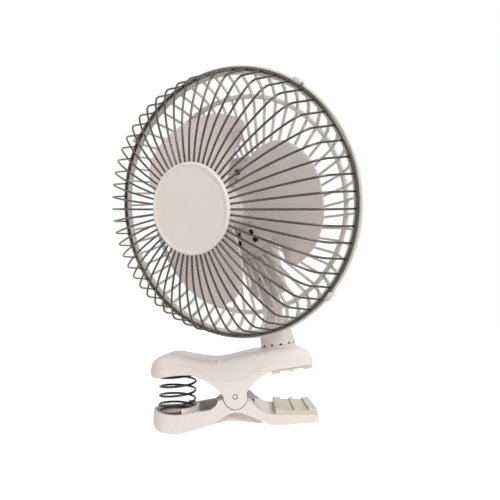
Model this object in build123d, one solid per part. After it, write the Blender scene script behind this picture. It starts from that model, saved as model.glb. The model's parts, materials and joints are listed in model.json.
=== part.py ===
from build123d import *
import math
import os

# A small desk fan on a spring clamp. Millimetres. Three drawing frames are used:
#   lower: pivot pin at the origin, X along the jaws, Y away from the viewer, Z up, lower jaw level
#   level: the same, fixed to the upper half, which is drawn level and then opened by JAW_OPEN
#   head:  centre of the guard rim at the origin, the air leaves towards -Y, Z up
# The shared frame has its origin at the middle of the upper pad's gripping face.

# driving dimensions: pose of the photograph
JAW_OPEN = 8.5          # opening of the clamp halves, degrees
YAW = 29.34             # head turned to the left, degrees
TILT = 12.96            # head tilted down, degrees

# clamp
HALF_W = 21.0           # half width of both halves
WALL = 2.5
CUP_UP = -48.0          # middle of the rounded rear ends
CUP_LOW = -47.6
REAR_UP = 18.8          # their radii
REAR_LOW = 18.3
JAW_END = 63.2
ROUND_UP = 4.5          # rounding of the upper half's top edges
LIP = 0.8               # the lip stands this proud of the walls
LOBE_R = 8.8            # pivot lobe of the upper half
LOBE_GAP = 0.8
PIN_R = 2.0
RUN_FIT = 0.05          # radial play of every turning fit
CHEEK_IN = 10.6         # inner cheeks of the lower half
CHEEK_OUT = 13.0
BOSS_OUT = 18.1
PAD_X = (30.5, 61.5)
PAD_FACE_UP = 11.4      # gripping face of the upper pad, level frame
PAD_SEAT_UP = 14.4
PAD_FACE_LOW = -8.6
PAD_SEAT_LOW = -12.6
PAD_LAND = 1.4          # depth of the recesses between the pad's lands
PAD_HALF = 19.6

# spring
SPRING_X = -47.6
SPRING_R = 14.2         # of the wire's middle
SPRING_WIRE = 1.05      # corner radius of the four-sided wire
SPRING_FLAT = SPRING_WIRE * math.sqrt(0.5)   # its half thickness
SPRING_LOW = -15.6      # middle of the lowest turn
SPRING_HIGH = 22.4
SPRING_END_PITCH = 2.6
SPRING_TURNS = 5.0      # free turns, between a closed turn below and half a closed turn above
SPRING_TOTAL = SPRING_TURNS + 1.5

# neck
NECK_X = 39.5
NECK_SEAM = 31.4
NECK_R = 14.0
STUB_R = 6.0
SOCKET_FLOOR = 20.5
HINGE_Z = 81.0
HINGE_R = 8.5
TONGUE = 4.5
BOLT_R = 2.0

# head
HINGE_BACK = 44.0       # hinge bolt behind the rim plane
HINGE_DROP = 69.0       # hinge bolt below the fan axis
RING_R = 97.85
RING_HALF = 1.2         # half thickness of the four-sided rim wire
WIRE_HALF = 0.66        # half thickness of the four-sided guard wires
WIRES = 56
WIRE_STEP = 360 / WIRES
WIRE_FRONT = 40.0       # front of the wires ahead of the rim plane
FACE_R, FACE_TURN = 95.2, 28.2
SHOULDER_R, SHOULDER_TURN = 17.6, 34.0
FACE_START = 35.9
RIB_TWIST = 14.5
RIB_HALF = 0.85
POD_R = 37.4
POD_WALL = 2.5
POD_BACK = 88.0
COVER_FRONT = 25.0
GUARD_SEAT = 35.4       # back of the guard's hub ring, against the pod's flange
BLADE_T = 1.8
HUB_R = 16.0
SHAFT_R = 2.5
ROTOR_R = 15.0
POST_X, POST_Z, POST_HALF = 17.4, 14.0, 2.4   # square posts that carry the motor
CORE = (44.0, 60.0)     # front and back of the stator's laminations


def side(points, half):
    """Flat outline (X, Z) made as wide as 2 x half across Y."""
    return extrude(Plane.XZ * make_face(Polyline(*points, close=True)), half, both=True)


def box(x0, x1, y0, y1, z0, z1):
    return Pos((x0 + x1) / 2, (y0 + y1) / 2, (z0 + z1) / 2) * Box(x1 - x0, y1 - y0, z1 - z0)


def rod(radius, y0, y1, x=0.0, z=0.0):
    """Cylinder along Y."""
    return Pos(x, (y0 + y1) / 2, z) * Rot(90, 0, 0) * Cylinder(radius, y1 - y0)


def post(radius, z0, z1, x=0.0, y=0.0):
    """Cylinder along Z."""
    return Pos(x, y, (z0 + z1) / 2) * Cylinder(radius, z1 - z0)


def bar(radius, x0, x1, y=0.0, z=0.0):
    """Cylinder along X."""
    return Pos((x0 + x1) / 2, y, z) * Rot(0, 90, 0) * Cylinder(radius, x1 - x0)


def turned(points, arc=360.0):
    """Outline (radius, y) turned about the fan axis."""
    return revolve(make_face(Polyline(*points, close=True)), Axis.Y, arc)


def turned_up(points):
    """Outline (radius, z) turned about Z."""
    return revolve(Plane.XZ * make_face(Polyline(*points, close=True)), Axis.Z)


def plan(x_back, rear, x_front, half, corner):
    """Plan outline with a round rear end, tapered sides and rounded front corners, as a prism."""
    turn = rear * math.sqrt(0.5)
    side_start = x_back + 26
    edges = (ThreePointArc((x_back, -rear), (x_back - turn, -turn), (x_back - rear, 0))
             + ThreePointArc((x_back - rear, 0), (x_back - turn, turn), (x_back, rear))
             + Line((x_back, rear), (side_start, half))
             + Line((side_start, half), (x_front - corner, half))
             + RadiusArc((x_front - corner, half), (x_front, half - corner), corner)
             + Line((x_front, half - corner), (x_front, corner - half))
             + RadiusArc((x_front, corner - half), (x_front - corner, -half), corner)
             + Line((x_front - corner, -half), (side_start, -half))
             + Line((side_start, -half), (x_back, -rear)))
    return extrude(make_face(edges), 60, both=True)


def flow(stations):
    """Smooth line through (x, z, heading in degrees): two arcs from each station to the next."""
    edges = []
    for (x0, z0, a0), (x1, z1, a1) in zip(stations, stations[1:]):
        t0 = Vector(math.cos(math.radians(a0)), math.sin(math.radians(a0)))
        t1 = Vector(math.cos(math.radians(a1)), math.sin(math.radians(a1)))
        edges += biarc(Vector(x0, z0), t0, Vector(x1, z1), t1)
    return edges


# ---------------------------------------------------------------- clamp

UPPER_TOP = [(-67.6, 24.0, 86), (-56.0, 36.8, 17), (-47.0, 38.0, -6), (-32.0, 33.6, -19),
             (-5.0, 28.2, 3), (18, 30.0, 1), (53.0, 28.4, -7), (JAW_END, 18.0, -84)]
UPPER_LOW = [(JAW_END, PAD_SEAT_UP), (30.4, PAD_SEAT_UP), (19.0, 9.6), (9.9, 3.0), (8.7, 1.0),
             (-8.7, 1.0), (-9.9, 3.2), (-18.6, 12.4), (-32.0, 20.2), (-46.0, 21.4), (-60.0, 21.0),
             (-67.6, 24.0)]
UPPER_HOLLOW = [(-66, 0), (-66, 28.4), (-61.5, 32.2), (-50.3, 35.4), (-42.6, 34.2), (-34.5, 31.2),
                (-26.5, 28.8), (-17.9, 26.8), (-1.2, 25.7), (20, 27.4), (40, 26.8), (55.6, 25.3),
                (60.4, 22.0), (60.4, 16.9), (28.5, 16.9), (28.5, 0)]
LIP_EDGE = [(-30.0, 25.6), (-24.0, 21.6), (-14.0, 13.4), (-8.0, 12.0), (8.0, 10.6), (14.0, 13.6),
            (24.0, 17.9), (36.0, 19.2), (52.0, 18.6), (70.0, 17.4)]


def clamp_upper():
    """Moulding open below: rear handle over the spring, pivot lobes, neck socket and jaw."""
    low = (Polyline(*UPPER_LOW[:2]) + ThreePointArc(*UPPER_LOW[1:4]) + Polyline(*UPPER_LOW[3:7])
           + ThreePointArc(*UPPER_LOW[6:9]) + ThreePointArc(*UPPER_LOW[8:11]) + Line(*UPPER_LOW[10:]))
    last = Line(UPPER_TOP[-1][:2], UPPER_LOW[0])
    face = Plane.XZ * make_face(Curve() + flow(UPPER_TOP) + last + low)
    body = extrude(face, HALF_W - LIP, both=True) & plan(CUP_UP, REAR_UP - LIP, JAW_END, HALF_W - LIP, 6)
    rim = body.edges().filter_by(lambda e: e.center().Z > 23.5 and abs(e.center().Y) > 4
                                 and e.length > 2)
    body = fillet(rim, ROUND_UP)
    band = side(LIP_EDGE + [(70, -20), (-75, -20), (-75, 28.0), (-48.0, 27.4), (-37.0, 27.6)], 40)
    body += extrude(face, HALF_W, both=True) & plan(CUP_UP, REAR_UP, JAW_END, HALF_W, 6) & band
    body += rod(LOBE_R, -HALF_W, HALF_W)
    hollow = side(UPPER_HOLLOW, 40) & plan(CUP_UP, REAR_UP - WALL - LIP, JAW_END - WALL,
                                           HALF_W - WALL, 4)
    hollow += box(-12, 28.5, WALL - HALF_W, HALF_W - WALL, -20, 20)
    body -= hollow
    body += post(14.6, 25.5, NECK_SEAM - 0.1, NECK_X)
    body += post(10.0, SOCKET_FLOOR, 28, NECK_X)
    body += turned_ribs(-9.0, 17.0)
    body -= post(STUB_R + RUN_FIT, 10, 40, NECK_X)
    seat = Rot(0, JAW_OPEN, 0) * post(16.6, SPRING_HIGH + SPRING_FLAT, 45, SPRING_X)
    hood = side([(-64, 24), (-64, 31), (-57, 35.5), (-47, 37), (-32, 32.6), (-24, 30), (-24, 24)], 30) \
        & plan(CUP_UP, REAR_UP - 1.5, 60, HALF_W - 1.5, 5)
    body += seat & hood
    body -= rod(PIN_R, -40, 40)
    return body


def turned_ribs(x0, x1):
    """Two stiffening webs across the hollow, beside the pivot."""
    webs = []
    for x in (x0, x1):
        webs.append(box(x - 0.9, x + 0.9, 1 - HALF_W, HALF_W - 1, 17.5, 28))
    return webs[0] + webs[1]


LOWER_TOP = [(-65.9, -12.4), (-59.5, -12.8), (-53.9, -13.4), (-47.1, -13.8), (-39.7, -13.4),
             (-33.8, -11.9), (-26.3, -10.7), (-18.5, -9.6), (-14.8, -6.8), (-12.6, -2.6), (0, -2.6),
             (10.9, -3.0), (14.8, -6.5), (18.6, -9.3), (22.3, -11.4), (26.8, PAD_SEAT_LOW),
             (JAW_END, PAD_SEAT_LOW)]
LOWER_LOW = [(JAW_END, -15.6, -90), (61.0, -18.0, 181), (29.7, -19.8, 180), (14.8, -15.0, 157),
             (0.6, -11.2, 180), (-12.7, -16.9, 211), (-30.0, -23.4, 197), (-46.0, -26.8, 180),
             (-56.0, -26.2, 170), (-65.9, -18.0, 92)]
TUB_HOLLOW = [(-66, 10), (-66, -17.8), (-62.5, -20.8), (-56.3, -23.5), (-48, -24.3), (-41.5, -23.9),
              (-33.9, -21.9), (-26.5, -19.7), (-19, -16.9), (-14.6, -14.8), (-14.6, 10)]
JAW_HOLLOW = [(17.5, -30), (17.5, -12.6), (23.0, -14.2), (27.4, -15.1), (60.7, -15.1), (60.7, -30)]
BEAM_LOW = [(28, -19.2), (17.2, -20.6), (3.5, -18.9), (-5.7, -18.9), (-19.5, -21.8), (-42, -25.8)]
SEAT_LOW = SPRING_LOW - SPRING_FLAT


def clamp_lower():
    """Cup with the spring seat, scalloped sides, recessed middle beam and lower jaw."""
    rear = Line(LOWER_LOW[-1][:2], LOWER_TOP[0])
    front = Line(LOWER_TOP[-1], LOWER_LOW[0][:2])
    face = Plane.XZ * make_face(Curve() + flow(LOWER_LOW) + rear + Polyline(*LOWER_TOP) + front)
    walls = extrude(face, HALF_W, both=True) & plan(CUP_LOW, REAR_LOW, JAW_END, HALF_W, 5)
    beam = side([(-42, -24), (-12, -12), (-7.2, -2), (7.2, -2), (11, -12), (28, -16.6)] + BEAM_LOW,
                CHEEK_OUT)
    cheek = rod(7.4, -CHEEK_OUT, CHEEK_OUT) + rod(5.0, -BOSS_OUT, BOSS_OUT)
    side_gap = box(-14.6, 17.5, CHEEK_OUT, HALF_W - WALL, -12, 10)
    shell = side(TUB_HOLLOW, 40) & plan(CUP_LOW, REAR_LOW - WALL, JAW_END - WALL, HALF_W - WALL, 4)
    body = walls - shell - side(JAW_HOLLOW, HALF_W - WALL)
    body -= side_gap + mirror(side_gap, Plane.XZ)
    body -= rod(LOBE_R + LOBE_GAP, -40, -CHEEK_OUT - 0.5) + rod(LOBE_R + LOBE_GAP, CHEEK_OUT + 0.5, 40)
    body += beam + cheek
    gap = side([(-33, -20), (-14.6, -13), (-14.6, 12), (14, 12), (15, -12), (15, -17.6),
                (3.5, -16.4), (-5.7, -16.4), (-19.5, -19.3), (-27, -21.9)], CHEEK_IN)
    body -= gap
    collar = (post(REAR_LOW - 0.5, -30, SEAT_LOW + 6.4, SPRING_X)
              - post(REAR_LOW - WALL, -30, 0, SPRING_X)) & box(-41, -20, -30, 30, -30, 0)
    seat = post(REAR_LOW - 1, -30, SEAT_LOW, SPRING_X) - post(11.0, -40, 0, SPRING_X)
    inner = side([(-66, 10), (-66, -18.4), (-62.5, -21.6), (-56.3, -24.3), (-48, -25.2), (-33.9, -22.8),
                  (-19, -18), (-19, 10)], 40)
    body += (seat + collar) & inner & plan(CUP_LOW, REAR_LOW - 1, 60, HALF_W - 1, 4)
    body -= rod(PIN_R + RUN_FIT, -40, 40)
    return body


def pad(face, seat, sign):
    """Rubber pad: a plate with three raised lands across its gripping face."""
    x0, x1 = PAD_X
    low, high = sorted((face + sign * PAD_LAND, seat))
    body = box(x0, x1, -PAD_HALF, PAD_HALF, low, high)
    low, high = sorted((face, seat))
    middle = (x0 + x1) / 2
    for left, right in ((x0, x0 + 6), (middle - 1.5, middle + 1.5), (x1 - 6, x1)):
        body += box(left, right, -PAD_HALF, PAD_HALF, low, high)
    return body


def clamp_pin():
    return rod(PIN_R, -HALF_W - 1.2, HALF_W + 1.2)


# ---------------------------------------------------------------- spring

def spring_point(turn):
    """Middle of the wire after so many turns, and the direction it runs in."""
    free = (SPRING_HIGH - SPRING_LOW - 1.5 * SPRING_END_PITCH) / SPRING_TURNS
    closed = min(turn, 1.0) + max(turn - 1.0 - SPRING_TURNS, 0.0)
    height = closed * SPRING_END_PITCH + (turn - closed) * free
    rise = free if 1.0 < turn <= 1.0 + SPRING_TURNS else SPRING_END_PITCH
    angle = 2 * math.pi * turn
    point = Vector(SPRING_X + SPRING_R * math.cos(angle), SPRING_R * math.sin(angle),
                   SPRING_LOW + height)
    run = Vector(-SPRING_R * math.sin(angle), SPRING_R * math.cos(angle), rise / (2 * math.pi))
    return point, run.normalized()


def biarc(p0, t0, p1, t1):
    """Two arcs that join two points and keep both directions."""
    v, t = p1 - p0, t0 + t1
    a = 2 * (t0.dot(t1) - 1)
    d = (v.dot(t) - math.sqrt(v.dot(t) ** 2 - a * v.dot(v))) / a
    q0, q1 = p0 + t0 * d, p1 - t1 * d
    middle = (q0 + q1) * 0.5
    return [TangentArc(p0, middle, tangent=t0), TangentArc(middle, p1, tangent=(q1 - q0))]


def clamp_spring():
    steps = int(SPRING_TOTAL * 4)
    edges = []
    for i in range(steps):
        p0, t0 = spring_point(i / 4)
        p1, t1 = spring_point((i + 1) / 4)
        edges += biarc(p0, t0, p1, t1)
    path = Wire([e if isinstance(e, Edge) else e.edge() for e in edges])
    start, run = spring_point(0)
    section = Plane(origin=start, x_dir=(1, 0, 0), z_dir=run) * RegularPolygon(SPRING_WIRE, 4, rotation=45)
    tube = sweep(section, path=path)
    report_gap(steps * 6)
    return tube


def report_gap(count):
    """Least free distance between neighbouring turns, measured on points along the wire."""
    points = [spring_point(SPRING_TOTAL * i / count)[0] for i in range(count + 1)]
    half_turn = int(count / SPRING_TOTAL / 2)
    gap = min((points[i] - points[j]).length for i in range(count + 1)
              for j in range(i + half_turn, count + 1)) - 2 * SPRING_WIRE
    print("spring: least gap between turns %.2f mm" % gap)


# ---------------------------------------------------------------- neck (its axis is Z, bolt along X)

def neck_post():
    body = turned_up([(0, NECK_SEAM), (NECK_R, NECK_SEAM), (NECK_R, 36.5), (12.4, 46), (8.2, 55),
                      (8.2, 70), (0, 70)])
    body += post(STUB_R, SOCKET_FLOOR - 0.1, 40)
    body += bar(HINGE_R, -TONGUE, TONGUE, 0, HINGE_Z) \
        + box(-TONGUE, TONGUE, -HINGE_R + 0.5, HINGE_R - 0.5, 60, HINGE_Z)
    body -= bar(BOLT_R, -20, 20, 0, HINGE_Z)
    return body - prism(1.8, 10, 33)


def prism(radius, z0, z1):
    """Six-sided bar along Z."""
    return extrude(Plane.XY.offset(z0) * RegularPolygon(radius, 6), z1 - z0)


def swivel_washer():
    """Square plate that holds the post down in its socket."""
    return box(-7.2, 7.2, -7.2, 7.2, SOCKET_FLOOR - 1.3, SOCKET_FLOOR - 0.1) - prism(1.8, 0, 40)


def swivel_screw():
    return prism(1.8, SOCKET_FLOOR - 2, 33) + prism(4.2, SOCKET_FLOOR - 3.9, SOCKET_FLOOR - 1.3)


def tilt_bolt():
    head = extrude(Plane(origin=(13.05, 0, HINGE_Z), z_dir=(1, 0, 0)) * RegularPolygon(4.2, 6), 2.6)
    return bar(BOLT_R, -16.4, 14, 0, HINGE_Z) + head


def tilt_nut():
    hexagon = Plane(origin=(-15.4, 0, HINGE_Z), z_dir=(1, 0, 0)) * RegularPolygon(4.2, 6)
    return extrude(hexagon, 2.35) - bar(BOLT_R, -20, 20, 0, HINGE_Z)


# ---------------------------------------------------------------- head: motor pod

def stalk():
    """Fork under the pod that holds the hinge bolt."""
    z0 = -HINGE_DROP
    y0 = HINGE_BACK
    outline = [(-15, -24), (15, -24), (13, z0 + 11), (13, z0 - HINGE_R), (-13, z0 - HINGE_R),
               (-13, z0 + 11)]
    front = Plane.XZ * make_face(Polyline(*outline, close=True))
    slab = extrude(front, 80, dir=(0, 1, 0))
    across = box(-20, 20, y0 - 6.5, y0 + HINGE_R, z0, -24) + bar(HINGE_R, -20, 20, y0, z0)
    across -= box(-20, 20, y0 - 9, y0 - 6.5, z0 - 10, z0 + 10)
    body = slab & across
    body -= box(-TONGUE - 0.3, TONGUE + 0.3, y0 - 12, y0 + 12, z0 - 12, z0 + HINGE_R + 0.8)
    return body - bar(BOLT_R + RUN_FIT, -20, 20, y0, z0)


POSTS = [(x, z) for x in (-POST_X, POST_X) for z in (-POST_Z, POST_Z)]
POD_IN = POD_R - POD_WALL


def motor_housing():
    """Rear shell of the pod, with the seat of the rear guard, the motor's posts and the stalk."""
    inside = [(0, 27.6), (POD_IN, 27.6), (POD_IN, 60), (31.4, 73), (23.0, 82.4), (0, 85.2)]
    body = turned([(0, 27.6), (POD_R, 27.6), (POD_R, GUARD_SEAT), (41.2, GUARD_SEAT), (POD_R, 39.6),
                   (POD_R, 60), (34.0, 74), (24.6, 84.4), (0, POD_BACK)])
    body += stalk() - rod(POD_R - 1, 30, 60) - rod(32.5, 55, 76)
    body -= turned(inside)
    reach = turned([(r + 1.0 * (r > 0), y + 1.0 * (y > 80)) for r, y in inside])
    for x, z in POSTS:
        body += square_post(66.2, 86, x, z) & reach
    body -= rod(3.0 + RUN_FIT, 80, 95)
    body -= box(-3.4, 3.4, 68.6, 75.4, -39, -28)
    return body


def square_post(y0, y1, x, z):
    return box(x - POST_HALF, x + POST_HALF, y0, y1, z - POST_HALF, z + POST_HALF)


def motor_cover():
    """Vented plate that closes the pod's front, with two rings of small windows."""
    body = turned([(5.5, COVER_FRONT), (POD_R, COVER_FRONT), (POD_R, 27.6), (POD_IN - 0.1, 27.6),
                   (POD_IN - 0.1, 28.4), (5.5, 28.4)])
    windows = []
    for i in range(12):
        for radius, size in ((22.0, 4.2), (29.0, 5.2)):
            windows.append(Rot(0, i * 30 + 15, 0) * Pos(radius, 27, 0) * Box(4.4, 8, size))
    return body - windows


def stator_core():
    y0, y1 = CORE
    body = box(-19.8, 19.8, y0, y1, -18, 17) + box(-15, 15, y0, y1, -28, -22)
    body += box(-15, -11, y0, y1, -24, -16) + box(11, 15, y0, y1, -24, -16)
    return body - rod(ROTOR_R + 0.5, y0 - 5, y1 + 5)


def stator_coil():
    y0, y1 = CORE
    return box(-10.4, 10.4, y0 - 2.4, y1 + 2.4, -30.4, -19.6) - box(-20, 20, y0, y1, -28, -22)


def bracket(y0, y1):
    """Bridge over one end of the motor, with a six-sided seat for its bush."""
    body = box(-19.8, 19.8, y0, y1, -16.4, 16.4)
    for x, z in POSTS:
        body += square_post(*((y1, CORE[0]) if y1 < CORE[0] else (CORE[1], y0)), x, z)
    return body - bush_block(y0 - 5, y1 + 5)


def bush_block(y0, y1):
    return extrude(Plane(origin=(0, y0, 0), z_dir=(0, 1, 0)) * RegularPolygon(5.4, 6), y1 - y0)


def bush(y0, y1):
    return bush_block(y0, y1) - rod(SHAFT_R + RUN_FIT, y0 - 5, y1 + 5)


def speed_switch():
    return box(-9, 9, 72, 82.4, -7, 7) - rod(3.0 + RUN_FIT, 79, 95)


def speed_knob():
    """Knob with twelve flats and a pointer groove, on its round stem."""
    def flats(radius, y):
        return Plane(origin=(0, y, 0), z_dir=(0, 1, 0)) * RegularPolygon(radius, 12)
    grip = loft([flats(11.2, 88.6), flats(9.4, 99.6)])
    return grip + rod(3.0, 79.2, 90) - box(-0.8, 0.8, 98.6, 102, 2, 12)


def cord_grommet():
    """Square grommet in the pod's floor."""
    body = box(-3.4, 3.4, 68.6, 75.4, -38, -30.4) + box(-5, 5, 67, 77, -40.4, -38)
    return body - box(-1.8, 1.8, 70.2, 73.8, -45, -33)


# ---------------------------------------------------------------- head: guards

GUARD_OUT = [(99.0, 3.2), (95.6, 15.6), (87.4, 27.2), (38.0, 35.2)]
GUARD_IN = [(38.0, 31.8), (85.2, 24.2), (92.8, 13.4), (95.6, 3.2)]


def rear_guard():
    """Moulded bowl of 56 slanting ribs between a rim, a middle ring and a hub ring."""
    twist = math.radians(RIB_TWIST)
    start, end = Vector(38.6, 0), Vector(98.2 * math.cos(twist), 98.2 * math.sin(twist))
    run = (end - start).normalized()
    plane = Plane(origin=(start.X, 0, 0), x_dir=(run.X, 0, run.Y), z_dir=(-run.Y, 0, run.X))
    outline = []
    for radius, depth in GUARD_OUT + GUARD_IN:
        along = -start.dot(run) + math.sqrt(radius ** 2 - start.length ** 2 + start.dot(run) ** 2) \
            if radius > start.length else 0.0
        outline.append((along, depth * plane.y_dir.Y))
    rib = extrude(plane * make_face(Polyline(*outline, close=True)), RIB_HALF, both=True)
    rim = turned([(95.2, RING_HALF), (100.7, RING_HALF), (100.4, 5.8), (95.2, 5.4)])
    middle = turned([(84.6, 23.8), (88.2, 23.8), (88.2, 27.8), (84.6, 27.8)])
    hub = turned([(POD_R, 31.0), (41.6, 31.0), (41.6, GUARD_SEAT), (POD_R, GUARD_SEAT)])
    ribs = [Rot(0, -WIRE_STEP * i, 0) * rib for i in range(WIRES)]
    return rim.fuse(middle, hub, *ribs)


def wire_line():
    """Middle of a front wire, (radius, y): straight, two bends taken in equal chords, straight."""
    r, y, heading = FACE_START, -WIRE_FRONT, 0.0
    points = [(27.0, y), (r, y)]
    for radius, sweep, chords in ((FACE_R, FACE_TURN, 3), (SHOULDER_R, SHOULDER_TURN, 2)):
        turn = math.radians(sweep) / chords
        for _ in range(chords):
            chord = 2 * radius * math.sin(turn / 2)
            r += chord * math.cos(heading + turn / 2)
            y += chord * math.sin(heading + turn / 2)
            heading += turn
            points.append((r, y))
    return points + [(RING_R, 0.0)]


def beside(points, offset):
    """The line moved sideways by the offset, its corners mitred."""
    runs = [(Vector(*q) - Vector(*p)).normalized() for p, q in zip(points, points[1:])]
    moved = []
    for p, before, after in zip(points, runs[:1] + runs, runs + runs[-1:]):
        mitre = Vector(-(before + after).Y, (before + after).X).normalized()
        spot = Vector(*p) + mitre * (offset / mitre.dot(Vector(-after.Y, after.X)))
        moved.append((spot.X, spot.Y))
    return moved


def front_ring():
    low, high = RING_R - RING_HALF, RING_R + RING_HALF
    return turned([(low, -RING_HALF), (high, -RING_HALF), (high, RING_HALF), (low, RING_HALF)])


def front_wires(ring):
    line = wire_line()
    outline = beside(line, WIRE_HALF) + beside(line, -WIRE_HALF)[::-1]
    wire = extrude(make_face(Polyline(*outline, close=True)), WIRE_HALF, both=True) - ring
    wire = wire.solids().sort_by(SortBy.VOLUME)[-1]
    return [Rot(0, -WIRE_STEP * (i + 0.5), 0) * wire for i in range(WIRES)]


def hub_badge():
    """Bare disc with a raised edge, in front of the wires' inner ends."""
    back = -WIRE_FRONT - WIRE_HALF
    return turned([(0, -42.1), (26.8, -42.2), (28.6, -42.9), (30.4, -41.8), (30.4, back), (26.5, back),
                   (26.5, -38.2), (0, -38.2)])


def guard_clips():
    profile = [(100.7, 4.6), (102.0, 4.6), (102.0, -2.7), (96.8, -2.7), (96.8, -RING_HALF),
               (100.7, -RING_HALF)]
    clips = []
    for i in range(4):
        start = 45 - WIRE_STEP + 90 * i - 2.5
        clips.append(Rot(0, -start, 0) * turned(profile, -5.0))
    return clips


# ---------------------------------------------------------------- rotor

BLADE = [(13, 43), (30, 38), (46, 32.5), (57, 28), (66, 23), (71, 17), (74.5, 8), (75.7, -3),
         (75.5, -18), (74, -32), (71.5, -43), (67.5, -52.5), (62, -56.5), (54, -56), (41, -51),
         (27, -52), (13, -60)]


def polar(radius, angle):
    return radius * math.cos(math.radians(angle)), radius * math.sin(math.radians(angle))


BLADE_MID = -17.0        # direction of the paddle's middle line
BLADE_BEND = [(-80.0, 22.4), (0.0, 5.4), (80.0, -14.6)]   # (sideways, depth) of the bent plate


def blade():
    """One paddle: a pitched and bent plate cut to its rounded outline."""
    out_x, out_z = polar(1, BLADE_MID)
    plane = Plane(origin=(9 * out_x, 0, 9 * out_z), x_dir=(-out_z, 0, out_x), z_dir=(out_x, 0, out_z))
    front, back = [[(t, -depth - shift) for t, depth in BLADE_BEND] for shift in (-BLADE_T / 2, BLADE_T / 2)]
    edges = (ThreePointArc(*front) + Line(front[2], back[2]) + ThreePointArc(*back[::-1])
             + Line(back[0], front[0]))
    plate = extrude(plane * make_face(edges), 72)
    points = [polar(r, a) for r, a in BLADE]
    outline = Spline(*points) + Line(points[-1], points[0])
    return plate & extrude(Plane.XZ * make_face(outline), 40, both=True)


def fan_blades():
    hub = turned([(0, -13.0), (13.0, -13.0), (HUB_R, -9.0), (HUB_R, 21.0), (13.6, 21.0), (13.6, -8.6),
                  (6.5, -8.6), (6.5, 20.0), (0, 20.0)])
    one = blade()
    body = hub
    for i in range(3):
        body += (Rot(0, -120 * i, 0) * one) - rod(HUB_R - 1.0, -30, 30)
    body -= rod(SHAFT_R, -40, 40)
    return body


def motor_shaft():
    return rod(SHAFT_R, -18.5, 68.4)


def motor_rotor():
    return rod(ROTOR_R, *CORE) - rod(SHAFT_R, 0, 90)


def blade_nut():
    hexagon = Plane(origin=(0, -13.0, 0), z_dir=(0, -1, 0)) * RegularPolygon(5.4, 6)
    return extrude(hexagon, 4.0) - rod(SHAFT_R, -40, 10)


# ---------------------------------------------------------------- placing and files

def grip_point():
    """Middle of the upper pad's gripping face, in the lower frame."""
    x = (PAD_X[0] + PAD_X[1]) / 2
    c, s = math.cos(math.radians(JAW_OPEN)), math.sin(math.radians(JAW_OPEN))
    return x * c - PAD_FACE_UP * s, x * s + PAD_FACE_UP * c


def place(name, shape, where):
    """Write one node; a list is kept as separate solids."""
    parts = shape if isinstance(shape, list) else [shape]
    solids = [where * solid for part in parts for solid in part.solids()]
    node = solids[0] if len(solids) == 1 else Compound(children=solids)
    node.label = name
    export_step(node, "parts/%s.step" % name)


def main():
    os.makedirs("parts", exist_ok=True)
    gx, gz = grip_point()
    lower = Pos(-gx, 0, -gz)
    level = lower * Rot(0, -JAW_OPEN, 0)
    neck = level * Pos(NECK_X, 0, 0) * Rot(0, 0, -YAW)
    head = neck * Pos(0, 0, HINGE_Z) * Rot(TILT, 0, 0) * Pos(0, -HINGE_BACK, HINGE_DROP)
    place("clamp_upper", clamp_upper(), level)
    place("upper_pad", pad(PAD_FACE_UP, PAD_SEAT_UP, 1), level)
    place("clamp_pin", clamp_pin(), lower)
    place("clamp_spring", clamp_spring(), lower)
    place("clamp_lower", clamp_lower(), lower)
    place("lower_pad", pad(PAD_FACE_LOW, PAD_SEAT_LOW, -1), lower)
    place("neck_post", neck_post(), neck)
    place("swivel_screw", swivel_screw(), neck)
    place("swivel_washer", swivel_washer(), neck)
    place("tilt_bolt", tilt_bolt(), neck)
    place("tilt_nut", tilt_nut(), neck)
    place("motor_housing", motor_housing(), head)
    place("motor_cover", motor_cover(), head)
    place("stator_core", stator_core(), head)
    place("stator_coil", stator_coil(), head)
    place("front_bracket", bracket(37.0, 39.0), head)
    place("rear_bracket", bracket(64.0, 66.2), head)
    place("front_bush", bush(35.0, 40.0), head)
    place("rear_bush", bush(63.0, 68.0), head)
    place("speed_switch", speed_switch(), head)
    place("cord_grommet", cord_grommet(), head)
    place("rear_guard", rear_guard(), head)
    ring = front_ring()
    place("front_ring", ring, head)
    place("front_wires", front_wires(ring), head)
    place("hub_badge", hub_badge(), head)
    place("guard_clips", guard_clips(), head)
    place("fan_blades", fan_blades(), head)
    place("motor_shaft", motor_shaft(), head)
    place("motor_rotor", motor_rotor(), head)
    place("blade_nut", blade_nut(), head)
    place("speed_knob", speed_knob(), head)
    report(lower, level, neck, head)


def report(lower, level, neck, head):
    """Places that the record needs, in metres in the shared frame."""
    for name, where, point in (("jaw pivot", lower, (0, 0, 0)), ("neck seam", level, (NECK_X, 0, NECK_SEAM)),
                               ("tilt hinge", neck, (0, 0, HINGE_Z)), ("rim centre", head, (0, 0, 0)),
                               ("knob", head, (0, 95, 0)),
                               ("lower pad", lower, ((PAD_X[0] + PAD_X[1]) / 2, 0, PAD_FACE_LOW))):
        spot = (where * Pos(*point)).position
        print("%-12s %.6f %.6f %.6f" % (name, spot.X / 1000, spot.Y / 1000, spot.Z / 1000))
    for name, where, run in (("neck axis", level, (0, 0, 1)), ("tilt axis", neck, (1, 0, 0)),
                             ("fan axis", head, (0, -1, 0)), ("upper grip", level, (0, 0, -1))):
        end = (where * Pos(*run)).position - where.position
        print("%-12s %.6f %.6f %.6f" % (name, end.X, end.Y, end.Z))


main()
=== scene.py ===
# %% [markdown]
# # A clip fan, dressed in Blender
# A clip fan is a small desk fan on a spring clamp. This lesson takes the fan's solid model,
# builds smooth surfaces for the pieces that show, and gives each one its finish.
# Lengths are worked out in millimetres in the frame that suits each piece, and turned into
# the shared frame in metres at the end, so that every number can be read off a ruler.

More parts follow.
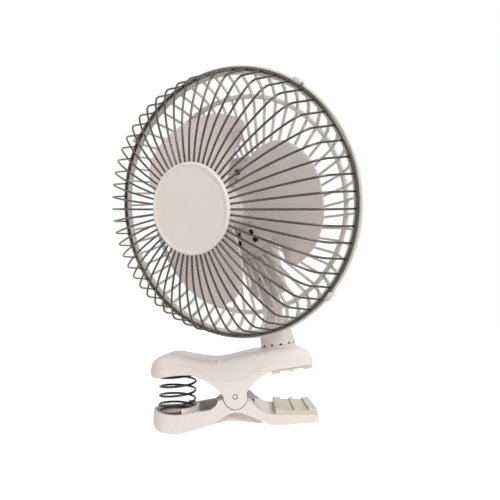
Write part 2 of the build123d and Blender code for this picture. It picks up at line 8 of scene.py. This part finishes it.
# %% Load the solid model
import bpy
import json
import math
import numpy as np
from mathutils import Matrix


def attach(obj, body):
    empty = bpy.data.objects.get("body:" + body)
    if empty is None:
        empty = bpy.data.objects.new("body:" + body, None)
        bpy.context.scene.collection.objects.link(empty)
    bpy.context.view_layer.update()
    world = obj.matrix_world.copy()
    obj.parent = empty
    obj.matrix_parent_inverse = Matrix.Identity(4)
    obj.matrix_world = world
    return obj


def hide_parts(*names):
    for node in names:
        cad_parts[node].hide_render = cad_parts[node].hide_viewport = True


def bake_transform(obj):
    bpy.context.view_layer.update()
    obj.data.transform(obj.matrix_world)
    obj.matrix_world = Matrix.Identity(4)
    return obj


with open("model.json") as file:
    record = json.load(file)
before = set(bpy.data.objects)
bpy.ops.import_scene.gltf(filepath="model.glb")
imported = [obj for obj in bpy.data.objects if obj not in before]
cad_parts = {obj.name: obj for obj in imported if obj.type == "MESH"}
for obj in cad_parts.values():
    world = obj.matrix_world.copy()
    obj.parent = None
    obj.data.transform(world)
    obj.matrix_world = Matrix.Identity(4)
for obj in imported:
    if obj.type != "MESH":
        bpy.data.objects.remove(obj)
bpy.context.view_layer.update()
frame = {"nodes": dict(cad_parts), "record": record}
print("solid model:", sorted(frame["nodes"]))

# %% [markdown]
# ## Frames
# The lower half of the clamp lies level. The upper half is opened about the pivot pin, the neck
# turns in the upper half, and the head tilts on the neck. Pieces could be drawn as they stand,
# but then every number would hide up to three turns. So each piece is drawn upright in its own
# frame. A frame is a turn (a 3 x 3 matrix) and a shift, and a point goes from a frame to its
# parent by turning it and then adding the shift.

# %% Frames of the clamp, neck and head
JAW_OPEN, YAW, TILT = np.radians([8.5, 29.34, 12.96])
PIVOT = (-43.810, 0, -18.074)
SOCKET = (39.5, 0, 0)
HINGE = (0, 0, 81.0)
RIM_MIDDLE = (0, -44.0, 69.0)


def turn_x(a):
    """Turn about x by a radians."""
    return np.array([[1, 0, 0], [0, np.cos(a), -np.sin(a)], [0, np.sin(a), np.cos(a)]])


def turn_y(a):
    """Turn about y by a radians."""
    return np.array([[np.cos(a), 0, np.sin(a)], [0, 1, 0], [-np.sin(a), 0, np.cos(a)]])


def turn_z(a):
    """Turn about z by a radians."""
    return np.array([[np.cos(a), -np.sin(a), 0], [np.sin(a), np.cos(a), 0], [0, 0, 1]])


def inside(parent, turn, shift):
    """A frame that is turned and shifted within its parent: R = Rp R1, t = Rp t1 + tp."""
    return parent[0] @ turn, parent[0] @ np.array(shift, float) + parent[1]


SHARED = (np.eye(3), np.zeros(3))
LOWER = inside(SHARED, np.eye(3), PIVOT)
UPPER = inside(LOWER, turn_y(-JAW_OPEN), (0, 0, 0))
NECK = inside(UPPER, turn_z(-YAW), SOCKET)
TILTED = inside(NECK, turn_x(TILT), HINGE)
HEAD = inside(TILTED, np.eye(3), RIM_MIDDLE)
print("middle of the guard's rim, mm:", np.round(HEAD[1], 1))

# %% [markdown]
# ## Surfaces from grids of points
# Every new piece is a grid: rows follow one parameter, columns the other. Joining each point
# to its neighbours gives four-sided faces, and a grid may close on itself along rows, columns
# or both. Blender's own shapes and modifiers could do some of this, but with a grid a piece
# states nothing but its formula. The sign of the enclosed volume tells whether the faces look
# outwards, and they are turned over where they don't.

# %% Grid to mesh
MM_PER_METRE = 1000


def grid_faces(rows, columns, close_rows, close_columns):
    """Corner numbers of the faces: point (i, j) has number i * columns + j."""
    i, j = np.meshgrid(np.arange(rows - (not close_rows)),
                       np.arange(columns - (not close_columns)), indexing="ij")
    i2, j2 = (i + 1) % rows, (j + 1) % columns
    return np.stack([i * columns + j, i2 * columns + j, i2 * columns + j2, i * columns + j2],
                    axis=-1).reshape(-1, 4)


def outwards(points, faces):
    """The faces, turned over if the sum of their volumes a . (b x c + c x d) / 6 is negative."""
    a, b, c, d = (points[faces] - points.mean(axis=0)).transpose(1, 0, 2)
    volume = (a * (np.cross(b, c) + np.cross(c, d))).sum() / 6
    return faces if volume > 0 else faces[:, ::-1]


def make_piece(name, grids, place):
    """Mesh object from a list of (points, close_rows, close_columns), placed by p -> R p + t."""
    vertices, faces, count = [], [], 0
    for points, close_rows, close_columns in grids:
        rows, columns = points.shape[:2]
        flat = points.reshape(-1, 3)
        vertices.append(flat)
        faces.append(outwards(flat, grid_faces(rows, columns, close_rows, close_columns)) + count)
        count += rows * columns
    vertices = (np.concatenate(vertices) @ place[0].T + place[1]) / MM_PER_METRE
    faces = np.concatenate(faces)
    mesh = bpy.data.meshes.new(name)
    mesh.from_pydata(vertices.tolist(), [], faces.tolist())
    mesh.update()
    mesh.polygons.foreach_set("use_smooth", np.ones(len(faces), bool))
    piece = bpy.data.objects.new(name, mesh)
    bpy.context.collection.objects.link(piece)
    print(name, "faces", len(faces))
    return piece


# %% [markdown]
# ## Shapes that come back
# Most pieces are a tube along a path, a profile turned round the fan's axis, or copies of one
# shape about that axis. A few helpers make these. An end or a pole is drawn in to a speck, which
# needs no special face of its own.

# %% Tube, turned profile, copies and curve
SPECK = 0.02  # what an end or a pole is drawn in to: millimetres, or a share of its size


def round_angles(count):
    """Angles spread evenly over a full turn: 2 pi n / count."""
    return np.linspace(0, 2 * np.pi, count, endpoint=False)


def unit(vectors):
    """Vectors divided by their lengths."""
    return vectors / np.linalg.norm(vectors, axis=-1, keepdims=True)


def tube(path, side, radius, sides=10):
    """Round tube: path + radius (cos a side + sin a (run x side)), with a speck at each end."""
    run = unit(np.gradient(path, axis=0))
    side = unit(side - (side * run).sum(1, keepdims=True) * run)
    up = np.cross(run, side)
    a = round_angles(sides)
    ring = radius * (np.cos(a)[:, None] * side[:, None] + np.sin(a)[:, None] * up[:, None])
    rows = np.concatenate([[0], np.arange(len(path)), [len(path) - 1]])
    size = np.where(np.arange(len(rows)) % (len(rows) - 1), 1.0, SPECK)[:, None, None]
    return path[rows][:, None] + ring[rows] * size


def turned(profile, steps=96):
    """Profile (radius, y) carried once round the fan axis: (r cos a, y, r sin a)."""
    profile = np.array(profile, float)
    a = round_angles(steps)
    r, y = profile[:, 0][:, None], profile[:, 1][:, None]
    return np.stack([r * np.cos(a), y + 0 * a, r * np.sin(a)], axis=-1)


def about_axis(points, angle):
    """Points turned about the fan axis, counter-clockwise seen from the front."""
    c, s = np.cos(angle), np.sin(angle)
    x, y, z = points[..., 0], points[..., 1], points[..., 2]
    return np.stack([c * x - s * z, y, s * x + c * z], axis=-1)


def smooth(points, count):
    """Catmull-Rom curve through the points, sampled evenly along its parameter."""
    p = np.array(points, float)
    p = np.concatenate([[2 * p[0] - p[1]], p, [2 * p[-1] - p[-2]]])
    u = np.linspace(0, len(points) - 1, count)
    i = np.minimum(u.astype(int), len(points) - 2)
    f = (u - i)[:, None]
    a, b, c, d = p[i], p[i + 1], p[i + 2], p[i + 3]
    return 0.5 * (2 * b + (c - a) * f + (2 * a - 5 * b + 4 * c - d) * f ** 2
                  + (3 * b - a - 3 * c + d) * f ** 3)


# %% [markdown]
# ## Materials as expressions
# A material is a small graph. Writing it node by node hides what it does, so a class wraps a
# socket and lets Python's own operators add the Math nodes. `0.5 + noise * 0.1` is then a
# line of Python and three nodes in Blender.

# %% Sockets that add up


class Socket:
    """A socket of a material; arithmetic on it adds Math nodes to the same material."""

    def __init__(self, tree, out=None):
        self.tree, self.out = tree, out

    def node(self, kind, settings=None, inputs=None, output=0):
        """Add a node: settings first, then the values or links of its inputs."""
        made = self.tree.nodes.new(kind)
        for key, value in (settings or {}).items():
            setattr(made, key, value)
        for key, value in (inputs or {}).items():
            if isinstance(value, Socket):
                self.tree.links.new(value.out, made.inputs[key])
            else:
                made.inputs[key].default_value = value
        return Socket(self.tree, made.outputs[output]) if len(made.outputs) else made

    def math(self, operation, first, second):
        """A Math node on two values or sockets."""
        return self.node("ShaderNodeMath", {"operation": operation}, {0: first, 1: second})

    def __add__(self, other):
        return self.math("ADD", self, other)

    def __sub__(self, other):
        return self.math("SUBTRACT", self, other)

    def __rsub__(self, other):
        return self.math("SUBTRACT", other, self)

    def __mul__(self, other):
        return self.math("MULTIPLY", self, other)

    __radd__, __rmul__ = __add__, __mul__


def empty_tree(owner):
    """The emptied nodes of a material or a world, as a socket to start from."""
    owner.use_nodes = True
    owner.node_tree.nodes.clear()
    return Socket(owner.node_tree)


# %% [markdown]
# ## Finishes
# The clamp, neck, pod and badge are one warm off-white plastic with a satin gloss. The rear
# guard is a whiter plastic, the blades a mauve grey one. The front wires are plated dark, the
# spring is blackened, and the pads are a cream rubber. A single colour would look like paper,
# so colour and roughness wander a little between two values with a soft noise, and a second,
# fine noise gives the moulded plastic and the rubber their grain.

# %% One recipe for all finishes
GRAIN_SCALE, GRAIN_DETAIL, GRAIN_HEIGHT = 900.0, 2.0, 0.0004


def noise(tree, scale, detail=3.0):
    """Noise from 0 to 1 on the piece's own coordinates, in metres."""
    where = tree.node("ShaderNodeTexCoord", output="Object")
    return tree.node("ShaderNodeTexNoise", None,
                     {"Vector": where, "Scale": scale, "Detail": detail})


def finish(name, low, high, roughness, spread, scale, grain=0.0, constants=None):
    """Colour from low to high and roughness + (noise - 0.5) * spread, with an optional grain."""
    material = bpy.data.materials.new(name)
    tree = empty_tree(material)
    cloud = noise(tree, scale)
    colour = tree.node("ShaderNodeMix", {"data_type": "RGBA"},
                       {0: cloud, 6: (*low, 1), 7: (*high, 1)}, output=2)
    inputs = {"Base Color": colour, "Roughness": roughness + (cloud - 0.5) * spread}
    if grain:
        inputs["Normal"] = tree.node("ShaderNodeBump", None, {
            "Strength": grain, "Distance": GRAIN_HEIGHT,
            "Height": noise(tree, GRAIN_SCALE, GRAIN_DETAIL)})
    inputs.update(constants or {})
    shader = tree.node("ShaderNodeBsdfPrincipled", None, inputs)
    tree.node("ShaderNodeOutputMaterial", None, {"Surface": shader})
    return material


# %% Finishes: low and high colour, roughness, its spread, noise scale, grain, constants
METAL = {"Metallic": 1.0}
SATIN = {"Specular IOR Level": 0.22, "Coat Weight": 0.03, "Coat Roughness": 0.3}
GLOSS = {"Specular IOR Level": 0.3, "Coat Weight": 0.05, "Coat Roughness": 0.3}
FINISHES = {name: finish(name, *values) for name, values in {
    "housing_beige": ((0.79, 0.72, 0.655), (0.83, 0.76, 0.70), 0.48, 0.10, 18.0, 0.10, SATIN),
    "guard_white": ((0.66, 0.63, 0.595), (0.72, 0.695, 0.665), 0.38, 0.10, 20.0),
    "blade_mauve": ((0.73, 0.645, 0.615), (0.78, 0.695, 0.665), 0.42, 0.08, 14.0, 0.0, GLOSS),
    "dark_chrome": ((0.066, 0.056, 0.048), (0.115, 0.097, 0.084), 0.26, 0.12, 60.0, 0.0, METAL),
    "spring_dark": ((0.025, 0.024, 0.026), (0.06, 0.056, 0.058), 0.30, 0.14, 90.0, 0.0,
                    {"Metallic": 0.55}),
    "pad_rubber": ((0.60, 0.56, 0.45), (0.68, 0.64, 0.53), 0.55, 0.12, 55.0, 0.15),
    "steel": ((0.60, 0.59, 0.58), (0.72, 0.71, 0.70), 0.30, 0.12, 80.0, 0.0, METAL),
    "core_steel": ((0.20, 0.20, 0.21), (0.30, 0.30, 0.31), 0.45, 0.15, 70.0, 0.0,
                   {"Metallic": 0.9}),
    "coil_copper": ((0.22, 0.085, 0.04), (0.32, 0.13, 0.06), 0.35, 0.12, 120.0, 0.0,
                    {"Metallic": 0.8}),
    "aluminium_cast": ((0.48, 0.48, 0.49), (0.60, 0.60, 0.60), 0.45, 0.15, 60.0, 0.0, METAL),
    "bush_brass": ((0.36, 0.25, 0.10), (0.46, 0.33, 0.14), 0.35, 0.12, 80.0, 0.0, METAL),
    "black_plastic": ((0.03, 0.03, 0.032), (0.045, 0.045, 0.048), 0.5, 0.1, 40.0),
    "knob_plastic": ((0.22, 0.20, 0.20), (0.27, 0.25, 0.25), 0.45, 0.1, 40.0),
    "black_rubber": ((0.03, 0.03, 0.03), (0.05, 0.05, 0.05), 0.6, 0.1, 50.0),
}.items()}
print("finishes:", len(FINISHES))


def dress(piece, body, slot, *nodes):
    """Give a new piece its finish, let it ride on its body and stand for its solids."""
    piece.data.materials.append(FINISHES[slot])
    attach(piece, body)
    if nodes:
        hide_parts(*nodes)


# %% [markdown]
# ## The solids that stay
# Pieces that are plain in the photograph, or hidden, are shown as they come, because a new
# surface would add nothing to them. Each gets the finish of its slot in the record.

# %% Finish of every solid
for entry in frame["record"]["subparts"]:
    node = frame["nodes"][entry["node"]]
    node.data.materials.clear()
    node.data.materials.append(FINISHES[entry["material_slot"]])

# %% [markdown]
# ## Front guard
# Fifty-six wires are bent alike: flat behind the badge, then a shallow dome, a tight shoulder
# and a straight run down to the rim. The solid's wires have four sides, which show at the
# edges, so round tubes take their place. The bend is drawn once as straight runs and arcs in
# the plane of radius and depth, a tube follows it, and copies are turned about the axis. The
# rim is a circle of wire, turned about the same axis.

# %% Guard wires and rim
WIRES, WIRE_R = 56, 0.69
RIM_R, RIM_WIRE_R = 97.85, 1.2
FLAT = np.array([(27.2, -40.0), (31.5, -40.0), (35.9, -40.0)])
DOME_R, DOME_SWEEP = 95.2, 28.2
SHOULDER_R, SHOULDER_SWEEP = 17.6, 34.0
WIRE_END = np.array([RIM_R - 0.4, 0])


def arc(start, heading, radius, sweep, count):
    """Arc start + R (sin a - sin h, cos h - cos a), from heading h over the sweep; its last a."""
    a = heading + np.radians(sweep) * np.linspace(0, 1, count)
    return np.stack([start[0] + radius * (np.sin(a) - np.sin(heading)),
                     start[1] + radius * (np.cos(heading) - np.cos(a))], axis=-1), a[-1]


def bent_wire():
    """Path (radius, y, 0): a straight, a wide arc, a tight arc and a straight to the rim."""
    dome, heading = arc(FLAT[-1], 0.0, DOME_R, DOME_SWEEP, 14)
    shoulder, heading = arc(dome[-1], heading, SHOULDER_R, SHOULDER_SWEEP, 9)
    last = shoulder[-1] + (WIRE_END - shoulder[-1]) * np.linspace(0, 1, 5)[:, None]
    line = np.concatenate([FLAT, dome[1:], shoulder[1:], last[1:]])
    return np.stack([line[:, 0], line[:, 1], 0 * line[:, 0]], axis=-1)


wire = tube(bent_wire(), np.array([0.0, 0, 1]), WIRE_R)
wires = [(about_axis(wire, 2 * np.pi * (n + 0.5) / WIRES), False, True) for n in range(WIRES)]
dress(make_piece("front_wires_round", wires, HEAD), "head", "dark_chrome", "front_wires")

around = round_angles(12)
rim = np.stack([RIM_R + RIM_WIRE_R * np.cos(around), RIM_WIRE_R * np.sin(around)], axis=-1)
dress(make_piece("front_ring_round", [(turned(rim, 192), True, True)], HEAD),
      "head", "dark_chrome", "front_ring")

# %% [markdown]
# ## Badge
# The middle of the guard is a plain disc with a soft raised edge. A bevelled cylinder comes
# close, but its edge would be even. So the disc is a profile of radius and depth, with the
# edge's small swell in it, turned round the axis.

# %% Badge
badge_front = smooth([(SPECK, -42.15), (10, -42.15), (20, -42.2), (26.6, -42.25), (27.7, -42.5),
                      (28.5, -42.55), (29.2, -42.3), (29.7, -41.7), (29.9, -40.75)], 40)
badge_back = [(26.5, -40.7), (26.5, -38.25), (SPECK, -38.25)]
badge = turned(np.concatenate([badge_front, badge_back]))
dress(make_piece("badge", [(badge, False, True)], HEAD), "head", "housing_beige", "hub_badge")

# %% [markdown]
# ## Rear guard
# The rear guard is moulded: 56 flat ribs slant from the pod to the rim over a bowl, with a
# ring half way and a rim that carries the wire guard. The solid's ribs are plain bars with
# sharp corners. Here each rib is a rounded section carried along a straight slanting line,
# whose depth follows the bowl's profile, and each ring is a rounded profile turned.

# %% Rear guard
BOWL = np.array([(38.0, 33.5), (84.0, 26.1), (86.3, 25.4), (88.4, 22.9), (92.4, 17.1),
                 (94.2, 14.3), (95.0, 11.6), (97.3, 3.2)])
RIB_FROM, RIB_TO, RIB_SLANT = 38.6, 98.2, np.radians(14.5)
RIB_WIDE, RIB_DEEP = 0.85, 1.55
RING_PROFILES = (
    [(95.3, 1.5), (98, 1.3), (100.4, 1.5), (100.6, 3.2), (100.3, 5.4), (97.8, 5.6), (95.5, 5.2),
     (95.3, 1.6)],
    [(84.8, 24.2), (86.4, 23.9), (88.0, 24.3), (88.1, 26.4), (86.6, 27.7), (84.9, 27.2),
     (84.7, 24.4)],
    [(37.5, 31.1), (41.4, 31.2), (41.5, 35.2), (37.6, 35.3), (37.5, 31.2)])


def bowl_depth(radius):
    """Depth of the bowl's middle surface at a radius, straight between its corners."""
    return np.interp(radius, BOWL[:, 0], BOWL[:, 1])


def squared(wave):
    """A sine or cosine at the power 0.6, which fills out the corners of the oval they draw."""
    return np.sign(wave) * np.abs(wave) ** 0.6


def rib(count=22):
    """Rounded section along the line (start + (end - start) t, depth of the bowl)."""
    start = np.array([RIB_FROM, 0.0])
    end = RIB_TO * np.array([np.cos(RIB_SLANT), np.sin(RIB_SLANT)])
    t = np.linspace(0, 1, count) ** 0.8  # closer together where the bowl bends
    line = start + (end - start) * t[:, None]
    path = np.stack([line[:, 0], bowl_depth(np.hypot(line[:, 0], line[:, 1])), line[:, 1]], axis=-1)
    run = unit(np.gradient(path, axis=0))
    across = unit(np.cross(run, [0, 1.0, 0]))
    up = np.cross(run, across)
    a = round_angles(12)
    wide, deep = RIB_WIDE * squared(np.cos(a)), RIB_DEEP * squared(np.sin(a))
    return path[:, None] + wide[:, None] * across[:, None] + deep[:, None] * up[:, None]


one_rib = rib()
ribs = [(about_axis(one_rib, 2 * np.pi * n / WIRES), False, True) for n in range(WIRES)]
rings = [(turned(smooth(profile, 24), 192), True, True) for profile in RING_PROFILES]
dress(make_piece("rear_guard_ribs", ribs + rings, HEAD), "head", "guard_white", "rear_guard")

# %% [markdown]
# ## Clips
# Four snap clips hold the two guards together. Each is a short hook. Its outline could be
# extruded, but it has to follow the round rim, so the outline of radius and depth is carried
# through a few degrees about the fan axis, and drawn in at both ends.

# %% Clips
HOOK = np.array([(100.75, 4.5), (101.5, 4.4), (101.9, 3.6), (101.7, -1.6), (100.8, -2.4),
                 (98.6, -2.3), (98.4, -1.5), (100.3, -1.3), (100.75, -0.6)])
CLIP_HALF, CLIPS = 1.9, 4
FIRST_CLIP = 45 - 360 / WIRES


def clip(middle):
    """Hook outline (r cos a, y, r sin a) at seven angles; the end rows shrink to a speck."""
    angle = np.radians(middle + CLIP_HALF * np.array([-1, -1, -0.85, 0, 0.85, 1, 1]))[:, None]
    size = np.array([SPECK, 0.8, 1, 1, 1, 0.8, SPECK])[:, None, None]
    flat = HOOK.mean(axis=0) + (HOOK - HOOK.mean(axis=0)) * size
    r, y = flat[..., 0], flat[..., 1]
    return np.stack([r * np.cos(angle), y + 0 * angle, r * np.sin(angle)], axis=-1)


clips = [(clip(FIRST_CLIP + 360 / CLIPS * n), False, True) for n in range(CLIPS)]
dress(make_piece("clips_rounded", clips, HEAD), "head", "guard_white", "guard_clips")

# %% [markdown]
# ## Back of the pod
# The pod's solid is turned from straight cuts. Its moulded skin is rounder. The solid has the
# fork and the openings in it, so it stays, and a thin shell lies over it: a smooth outer
# profile and the same line about half a millimetre further in, joined to a closed loop and
# turned round the axis.

# %% Skin of the pod
SKIN_FOOT, SKIN_INNER = [0, 40], 0.985
pod_outer = smooth([(37.45, 39.9), (37.6, 48), (37.55, 57), (37.0, 65.5), (35.2, 73.4),
                    (31.2, 79.8), (25.4, 84.4), (17.0, 86.7), (8.0, 87.7), (3.2, 87.95)], 44)
pod_inner = (pod_outer - SKIN_FOOT) * SKIN_INNER + SKIN_FOOT
pod_loop = np.concatenate([pod_outer, pod_inner[::-1]])
dress(make_piece("pod_skin", [(turned(pod_loop), True, True)], HEAD), "head", "housing_beige")

# %% [markdown]
# ## Pivot pin and the notches of the neck
# The pin's ends are small domes that stand in a narrow groove: half a profile, mirrored and
# turned. Round the foot of the neck run twelve shallow notches. They could be cut, but a cut
# of this size only shows as a dark patch of shade. So thin dark plates on the neck stand for
# them, and their black is painted shade for the inside of the notches.

# %% Pin
PIN_HALF = [(SPECK, 22.15), (0.7, 22.1), (1.15, 21.9), (1.4, 21.5), (1.45, 20.6), (1.98, 20.5),
            (1.98, 0.0)]
pin_profile = [(r, -y) for r, y in PIN_HALF[:-1]] + PIN_HALF[::-1]
dress(make_piece("pin_domed", [(turned(pin_profile, 32), False, True)], LOWER),
      "clamp_upper", "steel", "clamp_pin")

# %% Notches
NOTCHES, FIRST_NOTCH, NOTCH_HALF = 12, -25.2, 4.2
NOTCH_Z = (31.5, 32.8)
NOTCH_IN, NOTCH_OUT = 13.4, 14.06
CORNERS = np.array([(-1, 0), (1, 0), (1, 1), (-1, 1)], float)


def notch(middle):
    """Rectangle of angle and height: a row inside the neck, one just outside, one closing it."""
    rows = []
    for radius, size in ((NOTCH_IN, 1.0), (NOTCH_OUT, 1.0), (NOTCH_OUT, SPECK)):
        angle = np.radians(middle + NOTCH_HALF * size * CORNERS[:, 0])
        height = sum(NOTCH_Z) / 2 + (NOTCH_Z[1] - NOTCH_Z[0]) * size * (CORNERS[:, 1] - 0.5)
        rows.append(np.stack([radius * np.cos(angle), radius * np.sin(angle), height], axis=-1))
    return np.stack(rows)


notches = [(notch(FIRST_NOTCH + 360 / NOTCHES * n), False, True) for n in range(NOTCHES)]
# The plates' black finish is painted shade: it stands for the shade that falls inside the notches.
dress(make_piece("neck_notch_shade", notches, NECK), "neck", "black_plastic")

# %% [markdown]
# ## Blades
# Three wide paddles are pitched and slightly bent: depth falls evenly with the distance t from
# the paddle's middle line, less a square term for the bend. Near the hub the trailing side is
# cupped back, by a square term that fades out with the radius. A subdivided cage could come
# near this, but the formula keeps the three alike and the sheet even. The outline is a curve in
# polar coordinates, from the leading root round the tip to the trailing root. Chords join its
# two halves on the front face, a half circle of the sheet's thickness rounds the edge, and the
# same chords lead back on the other face. At the root and the tip the loops close in a point.

# %% Blades
PADDLE = [(13, 44), (30, 42), (46, 38.5), (57, 33.5), (66, 27), (71, 19.5), (74.8, 10),
          (76.0, -2), (75.7, -18), (74, -32), (71.5, -43), (67.5, -53.5), (63, -57), (55, -55),
          (42, -48), (27, -44), (13, -50)]  # radius, degrees
PADDLES, HALF_SHEET = 3, 0.9
MIDDLE_LINE, MIDDLE_DEPTH, SLOPE = np.radians(-17.0), 5.4, 0.23125
BEND, BEND_AT = 1.5, 80
CUP, CUP_END = 0.043, 60.0


def sheet_depth(x, z):
    """Middle depth - slope t - bend (t / 80)^2 + cup (1 - r / 60) t^2, the cup for t < 0 only."""
    t = z * np.cos(MIDDLE_LINE) - x * np.sin(MIDDLE_LINE)
    cup = CUP * np.clip(1 - np.hypot(x, z) / CUP_END, 0, 1) * np.minimum(t, 0) ** 2
    return MIDDLE_DEPTH - SLOPE * t - BEND * (t / BEND_AT) ** 2 + cup


def paddle(half=70, across_count=24):
    """Loops of chord, rounded trailing edge, chord back and rounded leading edge, root to tip."""
    edge = smooth([(r * np.cos(np.radians(a)), r * np.sin(np.radians(a))) for r, a in PADDLE],
                  2 * half)
    run = unit(np.gradient(edge, axis=0))
    out = np.stack([-run[:, 1], run[:, 0]], axis=-1)
    edge = edge - out * HALF_SHEET
    lead, trail = edge[:half], edge[:half - 1:-1]
    lead_out, trail_out = out[:half] * HALF_SHEET, out[:half - 1:-1] * HALF_SHEET
    chord = lead + (trail - lead) * np.linspace(0, 1, across_count)[:, None, None]
    a = np.linspace(0, np.pi, 7)[1:-1][:, None, None]
    loop = np.concatenate([chord, trail + trail_out * np.sin(a),
                           chord[::-1], lead + lead_out * np.sin(a)])
    flat_lift, round_lift = np.full(across_count, HALF_SHEET), HALF_SHEET * np.cos(a[:, 0, 0])
    lift = np.concatenate([flat_lift, round_lift, -flat_lift, -round_lift])[:, None] * np.ones(half)
    ends = (lead[0] + trail[0]) / 2, (lead[-1] + trail[-1] + lead_out[-1] + trail_out[-1]) / 2
    root, tip = [np.broadcast_to(point, (len(loop), 1, 2)) for point in ends]
    loop = np.concatenate([root, loop, tip], axis=1)
    x, z = loop[..., 0], loop[..., 1]
    return np.stack([x, sheet_depth(x, z) - np.pad(lift, ((0, 0), (1, 1))), z], axis=-1)


one_paddle = paddle()
paddles = [(about_axis(one_paddle, 2 * np.pi * n / PADDLES), True, False) for n in range(PADDLES)]
print("points of a paddle:", one_paddle.shape[:2])

# %% [markdown]
# ## Hub
# The paddles grow out of a small deep cap that is open behind, with a boss inside it for the
# shaft. It could be a bevelled cylinder with a cut in it. A profile turned round the axis gives
# the rounded nose, the boss and the bore in one closed loop. The blades and the hub are one
# piece, as in the moulding.

# %% Hub, and the blades with it
hub_outer = smooth([(2.6, -12.9), (7, -12.95), (12.2, -12.85), (13.9, -11.8), (15.5, -9.4),
                    (16.0, -6), (16.0, 8), (16.0, 20.9), (13.7, 20.9)], 40)
hub_inner = [(13.7, -8.5), (6.5, -8.5), (6.5, 20.0), (2.6, 20.0)]
hub = [(turned(np.concatenate([hub_outer, hub_inner])), True, True)]
dress(make_piece("blades_smooth", paddles + hub, HEAD), "rotor", "blade_mauve", "fan_blades")

# %% [markdown]
# ## Spring
# The clamp's spring is one wire wound into a coil: a closed turn at the bottom, five open
# ones, and half a closed turn at the top. A Screw modifier would wind it at one even pitch.
# Here its height is a function of how far round it has gone, and the tube follows that path.

# %% Spring
COIL_X, COIL_R, COIL_WIRE_R = -47.6, 14.2, 0.88
COIL_LOW, COIL_HIGH = -15.6, 22.4
TURNS, CLOSED_TURNS, OPEN_TURNS = 6.5, 1.5, 5
CLOSED_PITCH = 2.6
OPEN_PITCH = (COIL_HIGH - COIL_LOW - CLOSED_TURNS * CLOSED_PITCH) / OPEN_TURNS
SPRING_ENDS = (-16.3, 23.1)


def coil(count=430):
    """Path (R cos 2 pi t, R sin 2 pi t, h(t)): h rises by the closed or the open pitch."""
    t = np.linspace(0, TURNS, count)
    closed = np.minimum(t, 1) + np.maximum(t - (OPEN_TURNS + 1), 0)
    height = COIL_LOW + closed * CLOSED_PITCH + (t - closed) * OPEN_PITCH
    return np.stack([COIL_X + COIL_R * np.cos(2 * np.pi * t), COIL_R * np.sin(2 * np.pi * t),
                     height], axis=-1)


path = coil()
spring_wire = tube(path, path - [COIL_X, 0, 0], COIL_WIRE_R, 12)
spring = make_piece("spring_round", [(spring_wire, False, True)], LOWER)
spring.data.materials.append(FINISHES["spring_dark"])
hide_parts("clamp_spring")
low_end, high_end = [(LOWER[1] + [COIL_X, 0, z]) / MM_PER_METRE for z in SPRING_ENDS]
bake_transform(spring)

# %% [markdown]
# ## World and floor
# The photograph has a plain white ground. A world that is white for every ray would also light
# all sides alike and wash out the shading. So it is white where the camera, a mirror finish or
# glass looks at it, and a softer grey as a lamp. A pale floor far below is made the same way.

# %% World and floor
AIR_LIGHT = 0.38
FLOOR_SIZE, FLOOR_PLACE = 14, (0, 4, -0.32)
WHITE, PALE = (1, 1, 1, 1), (0.86, 0.86, 0.86, 1)
FLOOR_GLOW, FLOOR_GLOW_SHARE = 1.25, 0.9


def seen(tree):
    """1 for a ray of the camera, of a mirror or of glass, and 0 for one that only lights."""
    camera, mirror, glass = [tree.node("ShaderNodeLightPath", output=name) for name in (
        "Is Camera Ray", "Is Glossy Ray", "Is Transmission Ray")]
    return tree.math("MINIMUM", camera + mirror + glass, 1.0)


world = bpy.data.worlds.new("studio")
bpy.context.scene.world = world
air = empty_tree(world)
sky = air.node("ShaderNodeBackground", None, {
    "Color": WHITE, "Strength": AIR_LIGHT + seen(air) * (1 - AIR_LIGHT)})
air.node("ShaderNodeOutputWorld", None, {"Surface": sky})

bpy.ops.mesh.primitive_plane_add(size=FLOOR_SIZE, location=FLOOR_PLACE)
floor = bpy.context.object
floor.name = "floor"
pale = bpy.data.materials.new("pale_floor")
ground = empty_tree(pale)
matt = ground.node("ShaderNodeBsdfDiffuse", None, {"Color": PALE})
glow = ground.node("ShaderNodeEmission", None, {"Color": WHITE, "Strength": FLOOR_GLOW})
ground.node("ShaderNodeOutputMaterial", None, {"Surface": ground.node(
    "ShaderNodeMixShader", None, {0: seen(ground) * FLOOR_GLOW_SHARE, 1: matt, 2: glow})})
floor.data.materials.append(pale)
print("floor at, m:", FLOOR_PLACE)

# %% [markdown]
# ## Lamps
# The shading in the photograph is soft. Small lamps would draw hard edges, so three wide square
# ones do it: the key at the front right, a weak fill low at the left, and one behind that lifts
# the rear guard.

# %% Lamps
LIT = np.array([-0.04, 0, 0.06])


def lamp(name, place, size, power):
    """Square soft light: tilt = atan2(level distance, drop), heading = atan2(y, x) - 90 degrees."""
    light = bpy.data.lights.new(name, "AREA")
    light.size, light.energy = size, power
    holder = bpy.data.objects.new(name, light)
    bpy.context.collection.objects.link(holder)
    x, y, z = LIT - place
    holder.location = place
    holder.rotation_euler = (math.atan2(math.hypot(x, y), -z), 0, math.atan2(y, x) - math.pi / 2)
    print(name, "power", power)


lamp("key", (0.7, -1.15, 0.85), 0.6, 15.5)
lamp("fill", (-1.1, -0.9, 0.2), 0.9, 3.3)
lamp("back", (0.2, 1.1, 0.9), 0.9, 4)

# %% [markdown]
# ## Camera
# The photograph was taken from close by and from a little below the head. The camera's place,
# its upward tilt and its lens come from a fit of the fan's outlines, so that the picture can be
# laid over the photograph.

# %% Camera
PITCH_UP = 11.497
camera_data = bpy.data.cameras.new("camera")
camera_data.lens, camera_data.sensor_width = 24.48, 36.0
camera_data.clip_start = 0.01
camera = bpy.data.objects.new("camera", camera_data)
bpy.context.collection.objects.link(camera)
camera.location = (-0.032716, -0.294436, 0.039350)
camera.rotation_euler = (math.radians(90 + PITCH_UP), 0, 0)
bpy.context.scene.camera = camera
bpy.context.scene.view_settings.view_transform = "Standard"
print("camera at, m:", tuple(camera.location))
